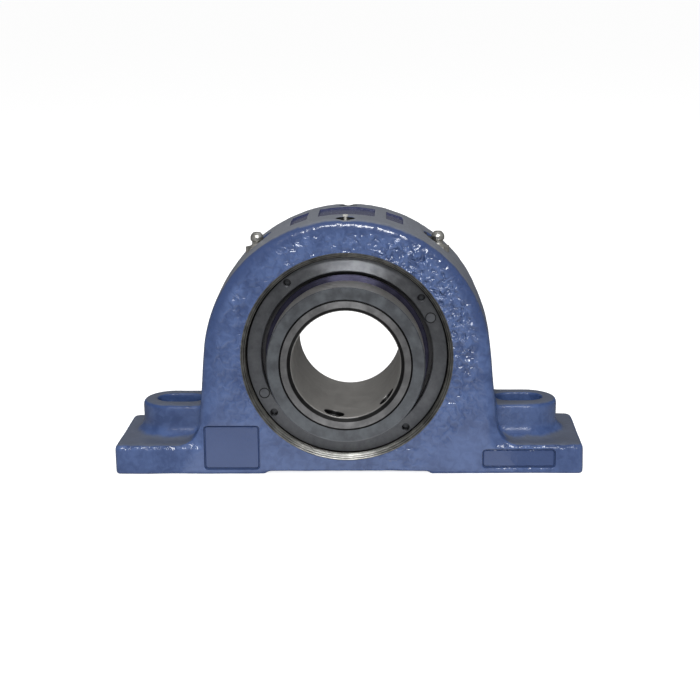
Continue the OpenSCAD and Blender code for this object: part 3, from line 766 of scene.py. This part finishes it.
class BEARING_OT_casting(bpy.types.Operator):
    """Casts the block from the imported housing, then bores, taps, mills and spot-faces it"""

    bl_idname = "bearing.casting"
    bl_label = "Cast and machine the block"

    def execute(self, context):
        looks = context.scene.casting
        raw = new_piece("cast_block", joined([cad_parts["housing"].data, self.mouth_filler()]))
        skin = raw.modifiers.new("skin", "REMESH")
        skin.mode = "VOXEL"
        skin.voxel_size = looks.grid
        make_real(raw)
        self.roughen(raw.data, looks)
        for material in self.finishes(looks):
            raw.data.materials.append(material)
        for tool in self.front_field_tools(looks):
            machine(raw, tool, FRONT_FIELD)
        for field in CROWN_FIELDS:
            machine(raw, crown_band(*field), CROWN_FIELD)
        for tool in self.cutting_tools():
            machine(raw, tool, MACHINED)
        raw.data.shade_smooth()
        raw.data.set_sharp_from_angle(angle=math.radians(38))
        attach(raw, "block")
        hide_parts("housing")
        return {"FINISHED"}

    def mouth_filler(self):
        """Plug that closes the bearing's seat while the skin is made."""
        radius = COVER_R + FILLER_MARGIN
        return lathe("mouth", [(0, -FACE_Y), (radius, -FACE_Y), (radius, FACE_Y), (0, FACE_Y)])

    def finishes(self, looks):
        """Materials in the order of the slots; thick enamel in a field hides lumps and sheds dust."""
        outside = (looks.enamel, looks.enamel_light)
        # Painted shade: the crown's sunk fields take a darker tone.
        in_crown = (looks.enamel_painted_field_shade, looks.enamel)
        in_front = (looks.enamel, looks.enamel)
        return (
            enamel_on_sand_casting("enamel_on_sand_casting", looks, outside, 1.0, 0.75),
            machined_cast_iron(looks),
            enamel_on_sand_casting("enamel_in_crown_field", looks, in_crown, 0.6, 0.1),
            enamel_on_sand_casting("enamel_in_front_field", looks, in_front, 0.9, 0.1),
        )

    def roughen(self, mesh, looks):
        """Softens the cast edges and raises the sand's lumps."""
        points = table_of(mesh.vertices, "co", 3)
        starts, ends = table_of(mesh.edges, "vertices", 2, int).T
        count = len(points)
        neighbours = np.bincount(starts, minlength=count) + np.bincount(ends, minlength=count)
        for _ in range(looks.soften):
            total = np.zeros_like(points)
            for axis in range(3):
                total[:, axis] = np.bincount(starts, points[ends, axis], count)
                total[:, axis] += np.bincount(ends, points[starts, axis], count)
            points += SMOOTHING * (total / neighbours[:, None] - points)
        mesh.vertices.foreach_set("co", points.ravel())
        mesh.update()
        lift = np.array([self.lump(Vector(point), looks) for point in points])
        points += table_of(mesh.vertices, "normal", 3) * lift[:, None]
        mesh.vertices.foreach_set("co", points.ravel())
        mesh.update()

    def lump(self, point, looks):
        """Height of the skin at a point: rough high up and on the right, smooth at the rim and the mouth."""
        coarse = noise.noise(point / looks.lump_size)
        fine = noise.noise(point / (0.5 * looks.lump_size) + Vector((7, 3, 5)))
        wave = noise.noise(point / (4 * looks.lump_size) + Vector((1, 9, 4)))
        share = held((point.z - ROUGH_FROM_Z) / ROUGH_FROM_Z, 0.25)
        share *= 1.0 + 0.6 * held(point.x / ROUGHEST_X)
        past_rim = math.hypot(point.x, point.z - ARCH_Z) - SMOOTH_RIM_R
        share *= 1.0 - 0.7 * held(past_rim / EDGE_FADE)
        if abs(point.y) > FACE_Y - FRONT_SKIN:
            past_mouth = math.hypot(point.x, point.z - SHAFT_Z) - MOUTH_R
            share *= held(past_mouth / EDGE_FADE)
            wave *= held(past_mouth / WAVE_FADE)
        return looks.lump_height * (share * (0.8 * coarse + 0.6 * fine) + 0.7 * wave)

    def front_field_tools(self, looks):
        """Solids of the sunk front fields, which the casting pattern leaves and the enamel covers.

        Each level is how far in from the field's edge and how far out from the face: down the edge, into
        the groove, along its bottom and up to the field's floor.
        """
        levels = (
            (0.0, 2 * MM), (0.0, -0.3 * MM), (0.35 * MM, -looks.field_groove),
            (0.5 * MM, -looks.field_groove), (1.0 * MM, -looks.field_depth),
        )
        fields = []
        for name, *sizes in FRONT_FIELDS:
            left, low, width, height = (size * MM for size in sizes)
            outlines = [
                round_rect(
                    left + inset, low + inset, width - 2 * inset, height - 2 * inset,
                    FRONT_FIELD_CORNER - inset)
                for inset, _ in levels
            ]
            field = stacked(name, [(outline, FACE_Y + out) for outline, (_, out) in zip(outlines, levels)])
            field.transform(Matrix.Rotation(math.radians(90), 4, "X"))
            fields.append(field)
        return fields

    def cutting_tools(self):
        """Solids that the boring bar, the mill, the drills and the tap take away."""
        low = BLOCK_LOW * SLAB_OVERSIZE
        high = BLOCK_HIGH * SLAB_OVERSIZE
        slab = [(low.x, low.y), (high.x, low.y), (high.x, high.y), (low.x, high.y)]
        tools = [self.mouth_tool(), upright("flat_feet", slab, -TOOL_MARGIN, 0.0)]
        for side in ("left", "right"):
            node = f"grease_fitting_{side}"
            x = middle(node)[0]
            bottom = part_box(node)[0].z
            seat = bottom + FITTING_SHANK
            spot = circle(x, 0, radius_of(node) + SPOT_FACE_MARGIN)
            hole = circle(x, 0, TAPPED_R)
            hole_low, hole_high = bottom - TAPPED_BELOW_FITTING, seat + TAPPED_ABOVE_SEAT
            tools.append(upright("spot_face", spot, seat, BLOCK_HIGH.z))
            tools.append(upright("tapped_hole", hole, hole_low, hole_high))
        for side in ("front", "rear"):
            node = f"{side}_lock_pin"
            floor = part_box(node)[1].z - PIN_RECESS_DEPTH
            recess = circle(0, middle(node)[1], PIN_RECESS_R)
            tools.append(upright("pin_recess", recess, floor, BLOCK_HIGH.z + TOOL_MARGIN))
        return tools

    def mouth_tool(self):
        """Bored seat, threaded mouths and their flared edges in one solid."""
        seat = OUTER_RING_R + FIT_GAP
        wall = COVER_R + FIT_GAP
        inner = FACE_Y - CHAMFER / 2
        outer = FACE_Y + CHAMFER / 2
        profile = [(0, 0), (seat, 0), (seat, OUTER_RING_HALF), (wall, OUTER_RING_HALF)]
        for k in range(THREAD_TURNS):
            base = inner - THREAD_TURNS * THREAD_PITCH + k * THREAD_PITCH
            profile += [
                (wall + deep * THREAD_DEPTH, base + along * THREAD_PITCH) for along, deep in THREAD_GROOVE
            ]
        profile += [(wall, inner), (wall + 2 * CHAMFER, outer), (0, outer)]
        mirrored = [(r, -y) for r, y in profile[:0:-1]]
        return lathe("mouth_tool", mirrored + profile[1:])


class BEARING_OT_covers(bpy.types.Operator):
    """Finishes the threaded covers, their plugs and their lock pins"""

    bl_idname = "bearing.covers"
    bl_label = "Finish the covers"

    def execute(self, context):
        looks = context.scene.steel
        tones = (looks.cover, looks.cover_light)
        steel = turned_black_oxide("turned_cover_steel", looks, tones, 0.39, 0.5, 0.96)
        # Dulled plating: part of the light scatters, so the pin stays grey in its dark recess
        zinc = plain_metal("zinc_plated_pin", looks.zinc, looks.zinc_dark, 0.4, metallic=0.4)
        dress(steel, "front_cover", "rear_cover")
        dress(plug_steel(looks), "front_cover_plugs", "rear_cover_plugs")
        dress(zinc, "front_lock_pin", "rear_lock_pin")
        return {"FINISHED"}


class BEARING_OT_ring_set(bpy.types.Operator):
    """Finishes the inner ring, the locking collar and its set screws"""

    bl_idname = "bearing.ring_set"
    bl_label = "Finish the inner ring and collar"

    def execute(self, context):
        looks = context.scene.steel
        # The collar's faces round the shaft take the bore's light colour as a painted sheen.
        collar = turned_black_oxide(
            "turned_collar_steel", looks, (looks.collar, looks.collar_light), 0.4, 0.6, 0.1,
            ground=looks.bore)
        ring = turned_black_oxide(
            "ground_ring_steel", looks, (looks.ring_dark, looks.ring), 0.4, 0.2, 0.6,
            chamfer=BORE_CHAMFER)
        # Heat-blackened alloy steel: smooth and dark, with a soft oily gloss
        screw = plain_metal("black_screw_steel", looks.screw, looks.collar, 0.3, metallic=0.85)
        dress(collar, "locking_collar")
        dress(ring, "inner_ring")
        dress(screw, "set_screw_left", "set_screw_right")
        return {"FINISHED"}


class BEARING_OT_seals(bpy.types.Operator):
    """Finishes the seals and the slingers"""

    bl_idname = "bearing.seals"
    bl_label = "Finish the seals and slingers"

    def execute(self, context):
        looks = context.scene.steel
        tones = (looks.slinger_dark, looks.slinger)
        blued = turned_black_oxide("blued_sheet_steel", looks, tones, 0.36, 0.2, 0.95)
        dress(nitrile_rubber(looks), "front_seal", "rear_seal")
        dress(blued, "front_slinger", "rear_slinger")
        return {"FINISHED"}


class BEARING_OT_roller_set(bpy.types.Operator):
    """Finishes the outer ring, the guide ring, the cages and the rollers"""

    bl_idname = "bearing.roller_set"
    bl_label = "Finish the roller set"

    def execute(self, context):
        looks = context.scene.steel
        # Ground bearing steel: bright and nearly mirror smooth
        ground = plain_metal(
            "ground_bearing_steel", looks.polished, looks.polished_dark, 0.18, relief=0.003 * MM)
        # Machined cage bronze: warm yellow metal, browner where it has tarnished
        bronze = plain_metal("machined_bronze", looks.bronze, looks.bronze_dark, 0.3)
        dress(ground, "outer_ring", "front_rollers", "rear_rollers")
        dress(bronze, "guide_ring", "front_cage", "rear_cage")
        return {"FINISHED"}


class BEARING_OT_grease_fittings(bpy.types.Operator):
    """Finishes the grease fittings, their check balls and their springs"""

    bl_idname = "bearing.grease_fittings"
    bl_label = "Finish the grease fittings"

    def execute(self, context):
        looks = context.scene.steel
        # Electroplated zinc: pale silver with a satin surface
        zinc = plain_metal("zinc_plated_fitting", looks.zinc, looks.zinc_dark, 0.38, relief=0.012 * MM)
        # Polished ball: a mirror with hardly any relief
        ball = plain_metal("polished_ball", looks.polished, looks.polished_dark, 0.14, relief=0.002 * MM)
        # Drawn spring wire: grey with a dull shine
        wire = plain_metal("drawn_spring_wire", looks.polished_dark, looks.screw, 0.34)
        for side in ("left", "right"):
            dress(zinc, f"grease_fitting_{side}")
            dress(ball, f"check_ball_{side}")
            dress(wire, f"check_spring_{side}")
        return {"FINISHED"}


# Stage, in metres

FLOOR_HALF = 60.0
CARD_HALF = 0.08
CARD_NEAR_BLOCK = -0.03
CARD_BRIGHT_UNTIL = -0.12
CARD_FAR = -0.42

# Each light's place, its width and height, and whether glossy surfaces mirror it

LIGHTS = {
    "key": ((0.05, -1.15, 0.75), (0.6, 0.18), True),
    "overhead": ((0, -0.55, 1.25), (1.2, 0.8), False),
    "rear": ((-0.35, 1.2, 0.7), (0.5, 0.4), False),
}

# Camera, solved from the photograph: place, lens and turns in radians

EYE = (25.62 * MM, -733.46 * MM, 228.33 * MM)
LENS = 79.34
SENSOR = 36
PITCH, YAW, ROLL = 0.2328, -0.0340, -0.0123


class BEARING_OT_stage(bpy.types.Operator):
    """Lays the floor, hangs the lights and sets up the camera"""

    bl_idname = "bearing.stage"
    bl_label = "Set the stage"

    def execute(self, context):
        looks = context.scene.stage
        self.floor(looks)
        self.room(looks)
        self.card(looks)
        for name, (at, size, mirrored) in LIGHTS.items():
            self.light(name, at, size, getattr(looks, name), mirrored)
        self.camera()
        return {"FINISHED"}

    def floor(self, looks):
        """White table, lit from below, that glossy surfaces don't mirror."""
        floor = ground_rectangle("floor", -FLOOR_HALF, -FLOOR_HALF, FLOOR_HALF, FLOOR_HALF)
        table = blank(bpy.data.materials.new("lit_white_table"))
        floor.data.materials.append(finish(table, {
            "Base Color": linear(looks.floor), "Roughness": 0.9,
            "Emission Color": linear(WHITE), "Emission Strength": looks.floor_glow,
        }))
        floor.visible_glossy = False

    def card(self, looks):
        """White card before the feet that only shows in glossy surfaces, brightest near the block."""
        card = ground_rectangle("card", -CARD_HALF, CARD_FAR, CARD_HALF, CARD_NEAR_BLOCK)
        white = blank(bpy.data.materials.new("white_card"))
        where = add(white, "TexCoord", {}, [])["Object"]
        along = add(white, "SeparateXYZ", {}, [where])["Y"]
        strength = graded(white, (along, CARD_FAR, CARD_BRIGHT_UNTIL, 0.0, looks.card_glow))
        glow = add(white, "Emission", {}, [linear(WHITE), strength])
        add(white, "OutputMaterial", {}, [glow[0]])
        card.data.materials.append(white)
        card.visible_camera = False
        card.visible_diffuse = False
        card.visible_shadow = False

    def room(self, looks):
        """A dim grey room all round, a little brighter towards the ceiling and darker behind the block."""
        world = blank(bpy.data.worlds.new("room"))
        where = add(world, "TexCoord", {}, [])["Generated"]
        _, depth, height = add(world, "SeparateXYZ", {}, [where])
        strength = graded(world, (height, 0.1, 0.9, looks.sky, 1.6 * looks.sky), (depth, 0.1, 0.8, 1.0, 0.45))
        sky = add(world, "Background", {}, [linear(WHITE), strength])
        add(world, "OutputWorld", {}, [sky[0]])
        bpy.context.scene.world = world

    def light(self, name, at, size, power, mirrored):
        """Soft rectangular light that points at the shaft's middle."""
        lamp = bpy.data.lights.new(name, "AREA")
        lamp.shape = "RECTANGLE"
        lamp.size, lamp.size_y = size
        lamp.energy = power
        holder = bpy.data.objects.new(name, lamp)
        holder.location = at
        holder.rotation_mode = "QUATERNION"
        holder.rotation_quaternion = (Vector((0, 0, SHAFT_Z)) - Vector(at)).to_track_quat("-Z", "Y")
        holder.visible_glossy = mirrored
        bpy.context.scene.collection.objects.link(holder)

    def camera(self):
        """Stands where the photograph was taken: slightly above, a little to the right, with a long lens."""
        lens = bpy.data.cameras.new("camera")
        lens.lens = LENS
        lens.sensor_width = SENSOR
        ahead = Vector((math.sin(YAW) * math.cos(PITCH), math.cos(YAW) * math.cos(PITCH), -math.sin(PITCH)))
        level = ahead.cross(Vector((0, 0, 1))).normalized()
        upward = level.cross(ahead)
        right = math.cos(ROLL) * level + math.sin(ROLL) * upward
        up = math.cos(ROLL) * upward - math.sin(ROLL) * level
        turn = Matrix((right, up, -ahead)).transposed()
        eye = bpy.data.objects.new("camera", lens)
        eye.matrix_world = Matrix.Translation(EYE) @ turn.to_4x4()
        bpy.context.scene.collection.objects.link(eye)
        bpy.context.scene.camera = eye


class BEARING_PT_panel(bpy.types.Panel):
    """Lists the steps in order, and the settings of each group"""

    bl_label = "Pillow Block"
    bl_idname = "BEARING_PT_panel"
    bl_space_type = "VIEW_3D"
    bl_region_type = "UI"
    bl_category = "Pillow Block"

    def draw(self, context):
        for operator in OPERATORS:
            self.layout.operator(operator.bl_idname)
        for name in SETTINGS:
            group = getattr(context.scene, name)
            box = self.layout.box()
            for field in group.bl_rna.properties:
                if field.identifier not in ("rna_type", "name"):
                    box.prop(group, field.identifier)


SETTINGS = {"casting": CastingSettings, "steel": SteelSettings, "stage": StageSettings}
OPERATORS = (
    BEARING_OT_casting,
    BEARING_OT_covers,
    BEARING_OT_ring_set,
    BEARING_OT_seals,
    BEARING_OT_roller_set,
    BEARING_OT_grease_fittings,
    BEARING_OT_stage,
)
CLASSES = (*SETTINGS.values(), *OPERATORS, BEARING_PT_panel)


def register():
    for part in CLASSES:
        bpy.utils.register_class(part)
    for name, group in SETTINGS.items():
        setattr(bpy.types.Scene, name, bpy.props.PointerProperty(type=group))


def unregister():
    for name in SETTINGS:
        delattr(bpy.types.Scene, name)
    for part in reversed(CLASSES):
        bpy.utils.unregister_class(part)


def main():
    register()
    bpy.context.scene.view_settings.view_transform = "Standard"
    bpy.ops.bearing.casting()
    bpy.ops.bearing.covers()
    bpy.ops.bearing.ring_set()
    bpy.ops.bearing.seals()
    bpy.ops.bearing.roller_set()
    bpy.ops.bearing.grease_fittings()
    bpy.ops.bearing.stage()


if __name__ == "__main__":
    main()
